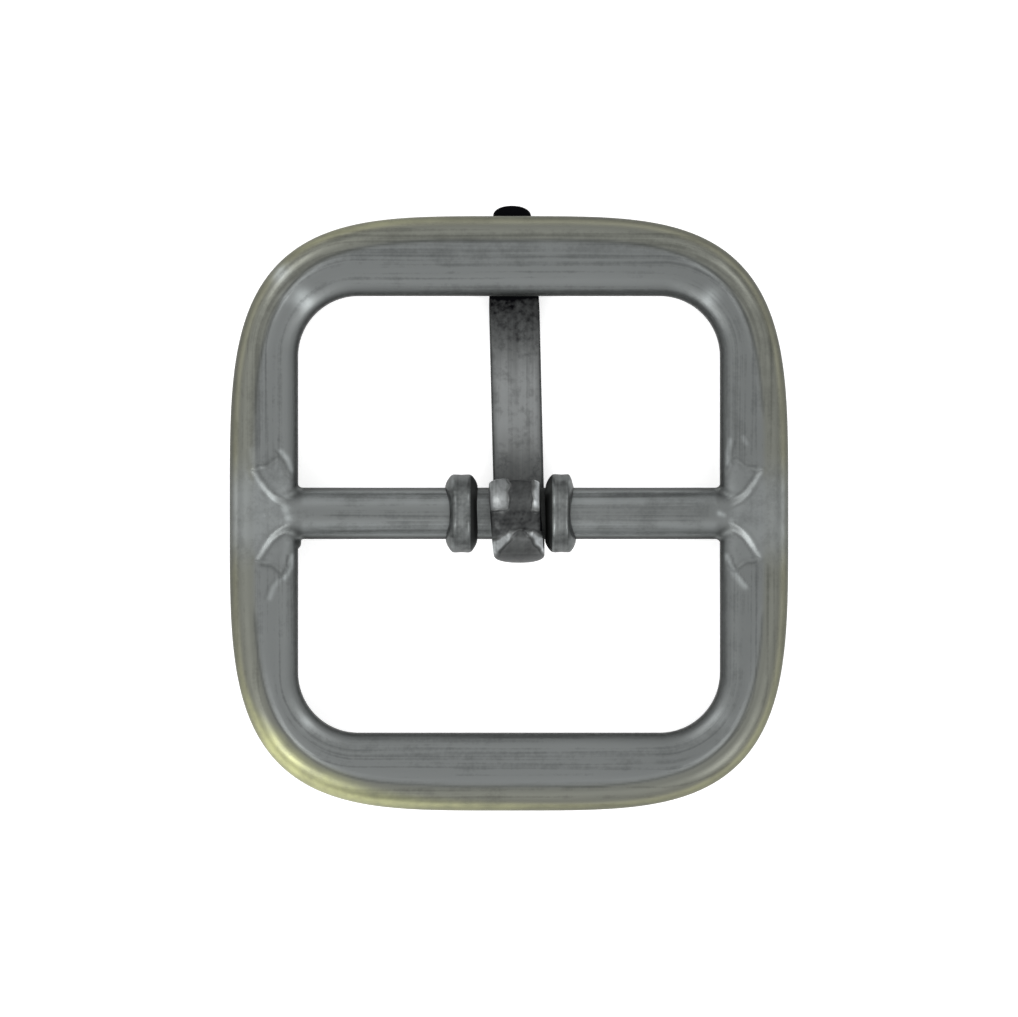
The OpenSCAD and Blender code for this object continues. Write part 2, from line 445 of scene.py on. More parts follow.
class Nodes:
    """Short calls for building one material's node tree."""

    def __init__(self, name):
        self.material = bpy.data.materials.new(name)
        self.material.use_nodes = True
        self.tree = self.material.node_tree
        self.shader = self.tree.nodes["Principled BSDF"]

    def add(self, kind, settings=None, **inputs):
        made = self.tree.nodes.new(kind)
        for key, value in (settings or {}).items():
            setattr(made, key, value)
        for key, value in inputs.items():
            self.put(made.inputs[key.replace("_", " ")], value)
        return made

    def put(self, socket, value):
        if isinstance(value, bpy.types.NodeSocket):
            self.tree.links.new(value, socket)
        else:
            socket.default_value = value

    def attribute(self, name, output="Fac"):
        return self.add("ShaderNodeAttribute", {"attribute_name": name}).outputs[output]

    def stretched(self, vector, scale):
        made = self.tree.nodes.new("ShaderNodeVectorMath")
        made.operation = "MULTIPLY"
        self.put(made.inputs[0], vector)
        made.inputs[1].default_value = scale
        return made.outputs[0]

    def noise(self, vector, scale, detail=2.0, roughness=0.5):
        return self.add("ShaderNodeTexNoise", Vector=vector, Scale=scale, Detail=detail,
                        Roughness=roughness).outputs["Fac"]

    def math(self, operation, a, b=0.0, clamp=False):
        made = self.tree.nodes.new("ShaderNodeMath")
        made.operation, made.use_clamp = operation, clamp
        self.put(made.inputs[0], a)
        self.put(made.inputs[1], b)
        return made.outputs[0]

    def remap(self, value, low, high, to_low=0.0, to_high=1.0):
        made = self.tree.nodes.new("ShaderNodeMapRange")
        for i, v in enumerate((value, low, high, to_low, to_high)):
            self.put(made.inputs[i], v)
        return made.outputs[0]

    def blend(self, a, b, factor):
        """Colour a where factor is 0 and b where it is 1."""
        made = self.add("ShaderNodeMix", {"data_type": "RGBA"})
        self.put(made.inputs["Factor"], factor)
        self.put(made.inputs[6], a)
        self.put(made.inputs[7], b)
        return made.outputs[2]

    def bump(self, height, strength, distance, normal=None):
        made = self.add("ShaderNodeBump", Strength=strength, Distance=distance, Height=height)
        if normal is not None:
            self.put(made.inputs["Normal"], normal)
        return made.outputs["Normal"]


def rgba(red, green, blue):
    return (red, green, blue, 1.0)


# Old plate reflects less than bright metal does at a low angle
EDGE_TINT = 0.68
# Noise scales across the brushed streaks, and twice along them
FINE_STREAKS, BROAD_STREAKS = (3.4, 0.045, 0.045), (1.3, 0.02, 0.02)
CLOUD_SCALE = 420.0


def nickel(name, body, tarnish, bright, shade_and_mottle_colour, brass, rough, streak, blotch, grain, coarse):
    """Brushed antique plate.

    The colours are the plain plate, its tarnish, its painted highlights, the dark of its painted shade and
    painted shadow and of its mottle, and the metal under it. Then come its roughness, the strength of its
    streaks, blotches and grain, and the grain's scale. It reads attributes for the streaks' direction, calm,
    tarnish, painted highlights, brass wear, painted shade, and painted shadow with mottle.
    """
    n = Nodes(name)
    brush = n.attribute("brush", "Vector")
    place = n.tree.nodes.new("ShaderNodeTexCoord").outputs["Object"]
    fine = n.noise(n.stretched(brush, FINE_STREAKS), 1.0, 2.5, 0.55)
    broad = n.noise(n.stretched(brush, BROAD_STREAKS), 1.0, 1.5, 0.5)
    calm = n.attribute("calm")
    cloud = n.noise(place, CLOUD_SCALE, 4.0, 0.6)
    grit = n.noise(place, coarse, 2.5, 0.6)
    lines = n.math("ADD", n.math("MULTIPLY", fine, 0.5), n.math("MULTIPLY", broad, 0.5))
    lines = n.math("ADD", n.math("MULTIPLY", lines, n.math("SUBTRACT", 1.0, calm)),
                   n.math("MULTIPLY", calm, 0.5))
    tone = n.remap(lines, 0.36, 0.62, 1.0 - 0.3 * streak, 1.0 + 0.2 * streak)
    tone = n.math("MULTIPLY", tone, n.remap(cloud, 0.3, 0.7, 1.0 - 0.16 * blotch, 1.0 + 0.16 * blotch))
    tone = n.math("MULTIPLY", tone, n.remap(grit, 0.3, 0.7, 1.0 - grain, 1.0 + grain))
    # Painted highlights lift the plate towards the bright colour
    painted_highlight = n.math("MULTIPLY", n.attribute("painted_highlight"), n.remap(cloud, 0.34, 0.6, 0.6, 1.0), clamp=True)
    painted_highlight = n.math("MULTIPLY", painted_highlight, n.remap(lines, 0.35, 0.6, 0.7, 1.1), clamp=True)
    base = n.blend(n.blend(body, tarnish, n.attribute("tarnish")), bright, painted_highlight)
    base = n.blend(rgba(0, 0, 0), base, tone)
    worn = n.math("MULTIPLY", n.attribute("worn"), n.remap(cloud, 0.30, 0.60, 0.5, 1.0), clamp=True)
    base = n.blend(base, brass, worn)
    # Painted shade, and painted shadow with mottle, darken the plate towards the dark colour
    painted_shade = n.math("MULTIPLY", n.attribute("painted_shade"), n.remap(grit, 0.3, 0.65, 0.8, 1.0), clamp=True)
    speckle = n.math("ADD", n.attribute("shadow_and_mottle"), n.remap(cloud, 0.25, 0.75, -0.14, 0.14))
    speckle = n.math("ADD", speckle, n.remap(grit, 0.25, 0.75, -0.13, 0.13))
    dark = n.math("MAXIMUM", painted_shade, n.remap(speckle, 0.25, 0.85, 0.0, 1.0), clamp=True)
    base = n.blend(base, shade_and_mottle_colour, dark)
    n.put(n.shader.inputs["Base Color"], base)
    n.shader.inputs["Metallic"].default_value = 1.0
    n.shader.inputs["Specular Tint"].default_value = rgba(EDGE_TINT, EDGE_TINT, EDGE_TINT)
    roughness = n.math("ADD", n.remap(lines, 0.3, 0.7, rough - 0.05, rough + 0.05),
                       n.math("MULTIPLY", dark, 0.15), clamp=True)
    n.put(n.shader.inputs["Roughness"], roughness)
    relief = n.bump(lines, 0.6 * streak, 0.00003)
    relief = n.bump(cloud, 0.3 * blotch, 0.00006, relief)
    relief = n.bump(grit, 0.25, 0.00002, relief)
    n.put(n.shader.inputs["Normal"], relief)
    return n.material


NICKEL = nickel("antique_nickel", body=rgba(0.172, 0.182, 0.180), tarnish=rgba(0.186, 0.186, 0.136),
                bright=rgba(0.42, 0.45, 0.45), shade_and_mottle_colour=rgba(0.034, 0.036, 0.035),
                brass=rgba(0.44, 0.45, 0.235), rough=0.40, streak=1.0, blotch=0.9, grain=0.08, coarse=3000.0)
DARK_NICKEL = nickel("dark_nickel", body=rgba(0.185, 0.192, 0.190), tarnish=rgba(0.15, 0.15, 0.14),
                     bright=rgba(0.54, 0.57, 0.58), shade_and_mottle_colour=rgba(0.004, 0.004, 0.005),
                     brass=rgba(0.4, 0.39, 0.3), rough=0.38, streak=0.6, blotch=1.6, grain=0.16,
                     coarse=1900.0)


# ---------------------------------------------------------------- the frame

# Cell sizes of the frame's surface, quick and full, and the room round it that the cells cover
QUICK_PITCH, FULL_PITCH = (0.32, 0.32, 0.32), (0.17, 0.17, 0.22)
MARGIN = 0.6
# The share of the full mesh's triangles that is kept. All the thinning is where the frame is plain
THINNED_TO = 0.55


def thin_plain_parts(made):
    """Fewer triangles everywhere but on the front of the bar and of the junctions."""
    x, y, z = points_of(made).T
    at_junction = (np.abs(x) > 19) & (np.abs(y) < 8.5)
    detailed = (z > -1.5) & (at_junction | (np.abs(y) < 2.6))
    group = made.vertex_groups.new(name="thinned")
    group.add(np.flatnonzero(~detailed).tolist(), 1.0, "REPLACE")
    thin = made.modifiers.new("thin", "DECIMATE")
    thin.ratio, thin.vertex_group = THINNED_TO, group.name
    apply_modifiers(made)
    made.vertex_groups.clear()


def make_frame():
    low = (-HALF_W - MARGIN, -HALF_H - MARGIN, BACK_Z - MARGIN)
    high = (HALF_W + MARGIN, HALF_H + MARGIN, CROWN_Z + MARGIN)
    points, quads = surface_net(frame_field, low, high, FULL_PITCH)
    points = np.clip(settle(frame_field, points), frame_low + BOX_GAP, frame_high - BOX_GAP)
    made = mesh_object("frame_cast", points, quads)
    thin_plain_parts(made)
    points = points_of(made)
    normals = gradient(frame_field, points)
    normals /= np.maximum(np.linalg.norm(normals, axis=1), 1e-9)[:, None]
    made.data.normals_split_custom_set_from_vertices(normals.tolist())
    skin = FrameSkin(*points.T)
    for name in ("brush", "painted_shade", "worn", "painted_highlight", "tarnish", "shadow_and_mottle", "calm"):
        attribute(made, name, getattr(skin, name)())
    return made


# Where the plating has worn through to brass round the rim: direction and spread in degrees, and
# strength. All of it is worn a little
RIM_WEAR = ((-122, 28, 0.5), (-131, 12, 0.5), (118, 20, 0.3), (-90, 40, 0.3),
            (-45, 20, 0.25), (90, 45, 0.05), (0, 40, 0.07))
LEAST_WEAR = 0.07


def rim_wear(turn):
    """How worn the rim is in a direction in degrees, from 0 to 1."""
    total = np.full_like(turn, LEAST_WEAR)
    for direction, spread, strength in RIM_WEAR:
        away = (turn - direction + 180) % 360 - 180
        total += strength * near_line(away, spread)
    return np.clip(total, 0, 1)


# Short strokes of painted highlight past the far ends of the leaves: the line, its half width and strength
STROKES = ((((-21.6, 5.9), (-20.9, 5.1), (-20.55, 4.1)), 0.24, 0.65),
           (((-24.3, 6.0), (-24.15, 4.6)), 0.3, 0.2),
           (((-20.45, -4.0), (-20.6, -5.1), (-21.2, -6.1)), 0.24, 0.75),
           (((-21.7, -6.3), (-22.2, -6.9), (-22.6, -8.0)), 0.24, 0.36),
           (((20.9, 6.9), (20.65, 5.8), (20.65, 4.7)), 0.22, 0.6),
           (((20.55, -4.0), (20.85, -4.9), (21.3, -5.7), (22.3, -6.9)), 0.29, 0.6),
           (((22.1, 7.2), (22.4, 6.6)), 0.2, 0.35))
# Each has a line of painted shadow this far to its outer side
STROKE_SHADE, STROKE_SHADE_HALF_W = 0.46, 0.15

# Spots of painted highlight: [x, y], size and strength. They are at the opening's corners and the rim
# beside one of them, then at the two ends of the bar
HIGHLIGHT_SPOTS = (((-19.5, 20.3), 0.85, 1.0), ((-21.2, 20.4), 0.5, 0.3), ((-21.8, 22.9), 0.9, 0.8),
          ((19.1, 20.5), 0.75, 0.7), ((-19.1, -19.8), 0.7, 0.24), ((20.0, -19.4), 0.9, 0.25),
          ((-21.15, 0.4), 0.42, 0.8), ((-20.9, -0.45), 0.42, 0.75), ((-23.0, -0.2), 0.4, 0.5),
          ((19.9, 0.0), 0.24, 0.85), ((20.3, -0.15), 0.22, 0.5), ((21.1, -0.6), 0.28, 0.5))

# Painted shade where the bar meets a side rail, by its size and the spots' distances from the middle
ROOT_SHADE_SIZE, ROOT_SHADES = 0.5, ((20.6, 1.75), (20.1, 2.0))

# How strong the painted highlight on the ridge beside each leaf is, and on the floor of one leaf against the
# others
RIDGE_UPPER_LEFT, RIDGE_UPPER_RIGHT, RIDGE_LOWER_LEFT, RIDGE_LOWER_RIGHT = 2.5, 0.7, 0.95, 1.35
FLOOR_UPPER_LEFT = 2.2


class FrameSkin:
    """How the frame's surface looks at its points. Each method gives one attribute, mostly from 0 to 1."""

    def __init__(self, x, y, z):
        self.x, self.y, self.z = x, y, z
        self.d_in, self.d_out = from_opening(x, y), inset(x, y)
        self.inside_leaf, self.from_step = leaf_place(x, y)
        self.turn = np.arctan2(y, x)
        self.on_bar = rise(-self.d_in, 0.1, 0.6)
        self.on_rail = 1.0 - self.on_bar
        self.front = rise(z, -0.3, 0.8)
        self.wear = rim_wear(np.degrees(self.turn))
        self.beside_bar = (fall(np.abs(y), 1.5, 4.5) * rise(np.abs(x), 20.3, 1.2)
                           * rise(-self.inside_leaf, 0.0, 0.3))

    def brush(self):
        """The way that the brushed streaks run: round the rails, and along the bar."""
        rail = np.stack([self.d_in, HALF_W * np.cos(self.turn), HALF_W * np.sin(self.turn)], axis=1)
        round_bar = np.arctan2(self.y, self.z) * BAR_R + 40.0
        bar = np.stack([round_bar, self.x, np.zeros_like(self.x)], axis=1)
        return mix(rail, bar, (self.on_bar > 0.5)[:, None])

    def painted_shade(self):
        """Painted shade: dark lines along the rails, round the leaves, beside the strokes and at sharp
        edges.

        The bar's roots and the leaves get painted shade too, and so does the right-hand side, very slightly.
        """
        x, y, d_in, d_out = self.x, self.y, self.d_in, self.d_out
        # Painted shade along the far rim and the foot of each leaf, with uneven mottle inside the leaves
        far_rim = rise(self.from_step, 0.5, 0.4) * rise(d_in, 0.4, 0.3)
        rim_line = near_line(self.inside_leaf - 0.3, 0.2) * far_rim
        foot = fall(self.from_step, 1.0, 0.3) * rise(d_in, 0.3, 0.3)
        foot_line = near_line(self.inside_leaf - 0.85, 0.18) * foot
        mottle = rise(self.inside_leaf, 0.0, 0.6) * (0.07 + 0.05 * ripple(x, y, 1.0, 41))
        # Painted shade in the groove, and a soft dark line of painted shade along it
        in_groove = groove(x, y, d_out) / GROOVE_DEPTH
        wander = 0.05 * ripple(x, y, 9.0, 17)
        groove_line = near_line(d_out - GROOVE_IN - wander, 0.15) * groove_strength(x, y)
        # Painted shadow beside each stroke, and painted shade at the bar's roots
        shade_x = x - STROKE_SHADE * np.sign(x)
        stroke_shade = sum(strength * near_line(from_line(shade_x, y, line), STROKE_SHADE_HALF_W)
                           for line, _, strength in STROKES)
        at_root = sum(spot(np.abs(x), np.abs(y), place, ROOT_SHADE_SIZE) for place in ROOT_SHADES)
        # All on the front, with a slight painted shade over the right-hand side
        on_front = np.max([0.2 * in_groove, 0.5 * groove_line, 0.5 * rim_line, 0.36 * foot_line,
                           0.5 * np.minimum(at_root, 1), 0.13 * rise(x, 5.0, 15.0),
                           0.7 * stroke_shade, mottle], axis=0) * self.front
        # Painted shade at the opening's edge, along the bar's upper and lower edges, and round the rim where
        # it is not worn
        opening_edge = fall(d_in, 0.12, 0.4) * rise(d_in, -0.6, 0.4) * self.on_rail
        opening_edge *= 1.0 - fall(np.abs(y), 2.2, 0.4) * rise(self.z, 0.6, 0.5)
        bar_edge = self.on_bar * rise(np.abs(y), 2.0, 0.38) * np.where(y < 0, 1.0, 0.75)
        rim = fall(d_out, 0.15, 0.6) * (1.0 - 0.8 * self.wear) * self.on_rail
        return np.max([on_front, 0.95 * opening_edge, 0.95 * bar_edge, 0.8 * rim], axis=0)

    def worn(self):
        """Brass along the rim, fading towards the back."""
        rim = ease(1.15 - self.d_out / (0.4 + 2.1 * self.wear ** 2))
        return self.wear * rim * self.on_rail * np.clip((self.z - BACK_Z - 1.0) / 3.2, 0, 1)

    def painted_highlight(self):
        """Painted highlights: on the ridges beside the leaves, along the strokes, and in spots at the
        opening's corners, the rim and the bar's ends.
        """
        x, y, inside_leaf = self.x, self.y, self.inside_leaf
        # Painted highlight on the ridge beside each leaf, strongest at the upper left
        ridge = fall(self.from_step, 0.75, 0.5) * rise(np.abs(x), 21.3, 1.2) * fall(np.abs(y), 3.4, 1.2)
        ridge *= np.where(y > 0, np.where(x > 0, RIDGE_UPPER_RIGHT, RIDGE_UPPER_LEFT),
                          np.where(x > 0, RIDGE_LOWER_RIGHT, RIDGE_LOWER_LEFT))
        ridge *= 0.85 + 0.3 * ripple(x, y, 1.5, 37)
        ridge *= np.maximum(near_line(inside_leaf - 0.34, 0.38), 0.45 * near_line(inside_leaf + 0.15, 0.5))
        # Painted highlight on the leaf floors, along the strokes, beside the bar, on the bar's flanks and in
        # spots
        leaf_floor = rise(inside_leaf, 0.7, 0.3) * rise(self.d_in, 0.2, 0.4)
        leaf_floor *= np.where((x < 0) & (y > 0), FLOOR_UPPER_LEFT, 1.0)
        strokes = sum(strength * near_line(from_line(x, y, line), half_w)
                      for line, half_w, strength in STROKES)
        bar_flank = self.on_bar * rise(np.abs(y), 0.5, 0.8) * fall(np.abs(y), 1.95, 0.25)
        lit_spots = sum(strength * spot(x, y, place, size) for place, size, strength in HIGHLIGHT_SPOTS)
        return self.front * np.max([0.3 * ridge, strokes, 0.24 * self.beside_bar, 0.1 * leaf_floor,
                                    0.3 * bar_flank, np.minimum(lit_spots, 1.0)], axis=0)

    def tarnish(self):
        """Yellowish tarnish over the outer part of the rails, weaker beside the bar and at the back."""
        outermost = fall(self.d_out, 0.4, 0.7) + 0.35 * self.wear * fall(self.d_out, 1.0, 1.4)
        outer = np.clip(0.42 * fall(self.d_out, 2.0, 0.7) + 0.55 * outermost, 0, 1)
        up_the_wall = mix(0.55, 1.0, rise(self.z, BACK_Z, 3.0))
        return outer * self.on_rail * (1.0 - 0.8 * self.beside_bar) * up_the_wall

    def shadow_and_mottle(self):
        """Painted shadow on the bar, in the gaps between the prong and the two collars."""
        left_gap = 0.42 * rise(self.x, -3.2, 0.3) * fall(self.x, -1.9, 0.4)
        right_gap = 1.4 * rise(self.x, 2.6, 0.2) * fall(self.x, 3.7, 0.2)
        return np.maximum(left_gap, right_gap) * self.on_bar

    def calm(self):
        """Where no streaks are seen: the junctions, the bar's roots and where streaks change direction."""
        junction = 0.9 * fall(np.abs(self.y), 3.5, 3.5) * self.on_rail * (np.abs(self.x) > SIDE_RAIL_X)
        bar_root = self.on_bar * fall(-self.d_in, 0.7, 3.5)
        turning = np.clip(6.0 * self.on_bar * (1.0 - self.on_bar), 0, 1) ** 0.5
        return np.max([turning, bar_root, junction], axis=0)


# ---------------------------------------------------------------- the stop collars

# A collar's section: radii of its foot, shoulder and bore, and the half width of its face
COLLAR_FOOT_R, COLLAR_SHOULDER_R = 2.75, 3.3
COLLAR_FACE_HALF_W = 0.66
COLLAR_BORE_R = BAR_R + 0.005
# Sections round a collar, and half the angle of its seam
COLLAR_TURNS, SEAM_HALF_ANGLE = 180, 0.02
# How far each collar's outer side is drawn in: at the front, the top and the bottom, as shares
PINCH = {"stop_collar_left": (0.27, 0.0, 0.0), "stop_collar_right": (0.45, 0.26, 0.1)}


def collar_section(outer, half_w, face_half_w, steps=6):
    """Half of a collar's section from the bore to the middle of its face, as [across, radius]."""
    corners = [(half_w, COLLAR_BORE_R), (half_w, COLLAR_FOOT_R), (half_w - 0.28, COLLAR_SHOULDER_R),
               (face_half_w + 0.05, outer - 0.05), (face_half_w - 0.14, outer), (0.0, outer - 0.05)]
    points = []
    for (ax, ar), (bx, br) in zip(corners[:-1], corners[1:]):
        points += [(mix(ax, bx, j / steps), mix(ar, br, j / steps)) for j in range(steps)]
    points.append(corners[-1])
    return np.array(points)


def softened(points, rounds=14):
    """A chain whose corners are rounded by averaging each point with its neighbours."""
    for _ in range(rounds):
        points = np.vstack([points[:1], (points[:-2] + 2 * points[1:-1] + points[2:]) / 4, points[-1:]])
    return points


def make_collar(node):
    low, high = (np.array(corner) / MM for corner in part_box(node))
    middle, half_w, outer = (low[0] + high[0]) / 2, (high[0] - low[0]) / 2 - 0.01, high[1] - 0.004
    outward = math.copysign(1, middle)
    front_pinch, top_pinch, bottom_pinch = PINCH[node]
    phases = np.random.default_rng(len(node)).uniform(0, 2 * math.pi, 4)
    sections = []
    for a in np.linspace(-math.pi + SEAM_HALF_ANGLE, math.pi - SEAM_HALF_ANGLE, COLLAR_TURNS):
        face_half_w = COLLAR_FACE_HALF_W + 0.2 * math.sin(a) ** 2 + 0.02 * math.sin(7 * a + phases[0])
        flattened = outer - 0.05 * math.cos(a) ** 8 + 0.012 * (math.sin(9 * a + phases[1]) - 1)
        uneven_half_w = half_w * (1 - 0.02 * (1 + math.sin(3 * a + phases[2])))
        half = softened(collar_section(flattened, uneven_half_w, face_half_w))
        bore = np.linspace(half_w, -half_w, 9)[1:-1] * 0.97
        across = np.concatenate([-half[:, 0], half[::-1, 0][1:], bore])
        radius = np.concatenate([half[:, 1], half[::-1, 1][1:], np.full_like(bore, COLLAR_BORE_R)])
        side_pinch = top_pinch if a > 0 else bottom_pinch
        pinch = mix(side_pinch * math.sin(a) ** 2, front_pinch, max(math.cos(a), 0.0) ** 2)
        across *= 1.0 - pinch * np.maximum(across * outward, 0.0) / half_w
        sections.append(np.stack([middle + across, radius * math.sin(a), radius * math.cos(a)], axis=1))
    made = mesh_object(node + "_ring", *sweep(sections))
    dress_collar(made, middle, half_w, outer)
    return made


def dress_collar(made, middle, half_w, outer):
    x, y, z = points_of(made).T
    radius, across = np.hypot(y, z), (x - middle) / half_w
    attribute(made, "brush", np.stack([x - middle, y * 0.6 + 90, z * 0.6], axis=1))
    # Painted shade on the flanks, at the foot and at the top and bottom
    flank = rise(np.abs(across), 0.55, 0.2)
    foot = fall(radius, 2.55, 0.3)
    top_and_bottom = rise(np.abs(y), 2.9, 0.7) * rise(z, -0.5, 0.5)
    attribute(made, "painted_shade", np.max([0.22 * flank, 0.6 * foot, 0.3 * top_and_bottom], axis=0))
    # Painted highlight along the edges of the face
    edge = near_line(np.abs(across) - 0.44 - 0.1 * (y / outer) ** 2, 0.09)
    attribute(made, "painted_highlight", 0.3 * edge * rise(radius, 3.4, 0.2) * rise(np.abs(y), 0.0, 1.8)
              * (0.6 + 0.4 * ripple(x, y, 0.9, 23)).clip(0, 1))
    # Painted shadow on the side that faces the prong, over a mottled tone
    to_prong = -math.copysign(1, middle) * across
    mottle = 0.35 + 0.07 * ripple(x, y, 0.6, 29) + 0.11 * ripple(x, y, 1.5, 53)
    attribute(made, "shadow_and_mottle", np.maximum(1.2 * rise(to_prong, 0.5, 0.12), mottle))
    for name in ("worn", "tarnish", "calm"):
        attribute(made, name, np.zeros_like(x))


# ---------------------------------------------------------------- the prong

# A place on the strip is given by path_y on its straight part, or by an angle on the eye: from
# TAIL_ANGLE at its tail, round the front and below, to minus 180 degrees at the back of the bar.
# The other one is None
TAIL_ANGLE = math.radians(46)
# The tail's sideways place and thickness, and how much its half width is more than the strip's
TAIL_X, TAIL_T, TAIL_WIDER = 0.52, 1.95, 0.03
# The tail's end is rounded over this angle, down to these shares of its width and thickness
TAIL_ROUND, TAIL_END_W, TAIL_END_T = 0.075, 0.80, 0.70
# Distances from the bar's axis at which the strip starts to thin and to narrow, and its size there
THINS_FROM, TAPER_FROM = 12.0, 19.0
TIP_HALF_W, TIP_T = 1.8, 1.6
# The tip is rounded over this length, with this power, down to this share of its thickness
TIP_Y = prong_high[1] - 0.003
TIP_ROUND, TIP_POWER, TIP_END_T = 1.0, 2.2, 0.42
TIP_FROM = TIP_Y - TIP_ROUND
TIP_LAST_SHARE = 0.998
PRONG_FLAT_Z = prong_low[2]
CROWN_POINTS = 70


def strip_middle(path_y, angle):
    """Sideways place of the strip's middle: the eye sits askew on the bar, the strip leans left."""
    if angle is None:
        return STRIP_ROOT_X - STRIP_LEAN * path_y
    return float(mix(TAIL_X, STRIP_ROOT_X, ease((TAIL_ANGLE - angle) / math.radians(150))))


def strip_size(path_y, angle):
    """Half width and thickness of the strip along its path."""
    if angle is not None:
        from_tail = float(ease((TAIL_ANGLE - angle) / math.radians(40)))
        return STRIP_HALF_W + TAIL_WIDER * (1 - from_tail), mix(TAIL_T, STRIP_T, from_tail)
    taper = float(rise(path_y, TAPER_FROM, TIP_FROM - TAPER_FROM))
    thinning = float(np.clip((path_y - THINS_FROM) / (TIP_FROM - THINS_FROM), 0, 1))
    return mix(STRIP_HALF_W, TIP_HALF_W, taper), mix(STRIP_T, TIP_T, thinning)


def strip_outline(half_w, t, edge=0.26, share=0.62):
    """Section as [across, depth from the inner face], flat inside and crowned outside.

    The inner edges are rounded with a radius of edge, and the crown starts at a share of the thickness.
    """
    left = [(-half_w + edge * (1 - math.cos(a)), edge * (1 - math.sin(a)))
            for a in np.linspace(0, math.pi / 2, 6)]
    flat = [(x, 0.0) for x in np.linspace(-half_w + edge, half_w - edge, 14)[1:-1]]
    right = [(-x, d) for x, d in left[::-1]]
    low = t * share
    crown = []
    for a in np.linspace(0, math.pi, CROWN_POINTS):
        c, s = math.cos(a), math.sin(a)
        crown.append((half_w * math.copysign(abs(c) ** 0.85, c), low + (t - low) * s ** 0.8))
    return np.array(left + flat + right + crown)


# The eye was closed with a cross-shaped punch. The middle of its mark, and the half width of its arms
MARK_X, MARK_Y = 1.12, -0.75
MARK_UP_HALF_W, MARK_ACROSS_HALF_H = 1.2, 1.08
MARK_DEPTH = 0.26
# The arm across spreads downwards beyond this distance, with this slope. The fan's half width at
# its top, and how much it gains with each step down
FLARE_FROM, FLARE_SLOPE = 1.1, 0.48
FAN_TOP_HALF_W, FAN_SPREAD = 0.56, 0.8


def below_mark(y):
    """Distance down from the lower edge of the mark's arm across."""
    return MARK_Y - MARK_ACROSS_HALF_H - y


def mark_inset(x, y):
    """Distance in from the edge of the punch mark: an arm up, an arm across and a fan below."""
    aside, below = np.abs(x - MARK_X), below_mark(y)
    up = np.minimum(MARK_UP_HALF_W - aside, y - MARK_Y)
    flare = np.where(y < MARK_Y, FLARE_SLOPE * np.maximum(aside - FLARE_FROM, 0), 0)
    across = MARK_ACROSS_HALF_H + flare - np.abs(y - MARK_Y)
    fan = np.minimum(below + 0.3, FAN_TOP_HALF_W + FAN_SPREAD * below - aside)
    return smooth_max(smooth_max(up, across, 0.4), fan, 0.3) + 0.09 * ripple(x, y, 1.1, 11)


# Planes that cut the eye's two lower corners: the normal, and its distance from the bar's axis
CORNER_CUTS = (((-0.46, -0.50, 0.735), 4.16), ((0.46, -0.50, 0.735), 5.02))


# The punch reaches round the eye to this angle, and leaves the inner part of the wall as it was
STRUCK_TO = math.radians(-88)
CORE_R = EYE_R + 0.9


def crimped(x, r, angle):
    """Radius of the eye's outside where the punch has struck it."""
    if angle is None or angle < STRUCK_TO:
        return r
    y = r * math.sin(angle)
    depth = MARK_DEPTH * ease(mark_inset(x, y) / 0.3) * fall(below_mark(y), 0.0, 0.8)
    outside = rise(r, CORE_R, 0.5)
    struck = r - depth * outside
    for (nx, ny, nz), distance in CORNER_CUTS:
        facing = ny * math.sin(angle) + nz * math.cos(angle)
        if facing > 0.1:
            struck = np.minimum(struck, np.maximum((distance - nx * x) / facing, CORE_R))
    return np.where(outside > 0, np.minimum(struck, r), r)


def strip_ring(path_y, angle, width_share=1.0, thick_share=1.0):
    """One ring of points round the strip, at a height on its straight part or an angle round the bar."""
    half_w, t = strip_size(path_y, angle)
    outline = strip_outline(half_w, t)
    across = outline[:, 0] * width_share
    depth = outline[:, 1] * thick_share
    if thick_share < 1 and angle is not None:
        depth = depth + t * (1 - thick_share) / 2
    x = strip_middle(path_y, angle) + across
    if angle is None:
        return np.stack([x, np.full_like(x, path_y), -EYE_R - depth], axis=1)
    r = crimped(x, EYE_R + depth, angle)
    return np.stack([x, r * math.sin(angle), r * math.cos(angle)], axis=1)


def make_prong():
    eye_steps, strip_steps, end_steps = ((220, 120, 12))
    eye = [strip_ring(None, angle) for angle in np.linspace(TAIL_ANGLE, -math.pi, eye_steps)]
    strip = [strip_ring(path_y, None) for path_y in np.linspace(0, TIP_FROM, strip_steps)[1:]]
    tail, tip = [], []
    for b in np.linspace(0, math.pi / 2, end_steps)[1:]:
        angle = TAIL_ANGLE + TAIL_ROUND * math.sin(b)
        left = math.cos(b)
        tail.append(strip_ring(None, angle, mix(TAIL_END_W, 1.0, left), mix(TAIL_END_T, 1.0, left)))
    for b in np.linspace(0, math.pi / 2, end_steps + 4)[1:]:
        along = math.sin(b) * TIP_LAST_SHARE
        left = (1 - along ** TIP_POWER) ** (1 / TIP_POWER)
        tip.append(strip_ring(TIP_Y - TIP_ROUND * (1 - along), None, left, mix(TIP_END_T, 1.0, left)))
    points, faces = sweep(tail[::-1] + eye + strip + tip)
    points[:, 2] = np.clip(points[:, 2], PRONG_FLAT_Z + BOX_GAP, prong_high[2] - BOX_GAP)
    made = mesh_object("prong_strip", points, faces)
    dress_prong(made)
    return made


# Painted shadow of the top rail on the strip, darker towards its tip: distances from the bar's axis, and the
# darkness at each
DARKENING_Y = (11.5, 13.5, 15.4, 16.4, 18.3, 20.2, 20.9)
RAIL_SHADOW = (0.1, 0.30, 0.44, 0.58, 0.70, 0.78, 1.2)


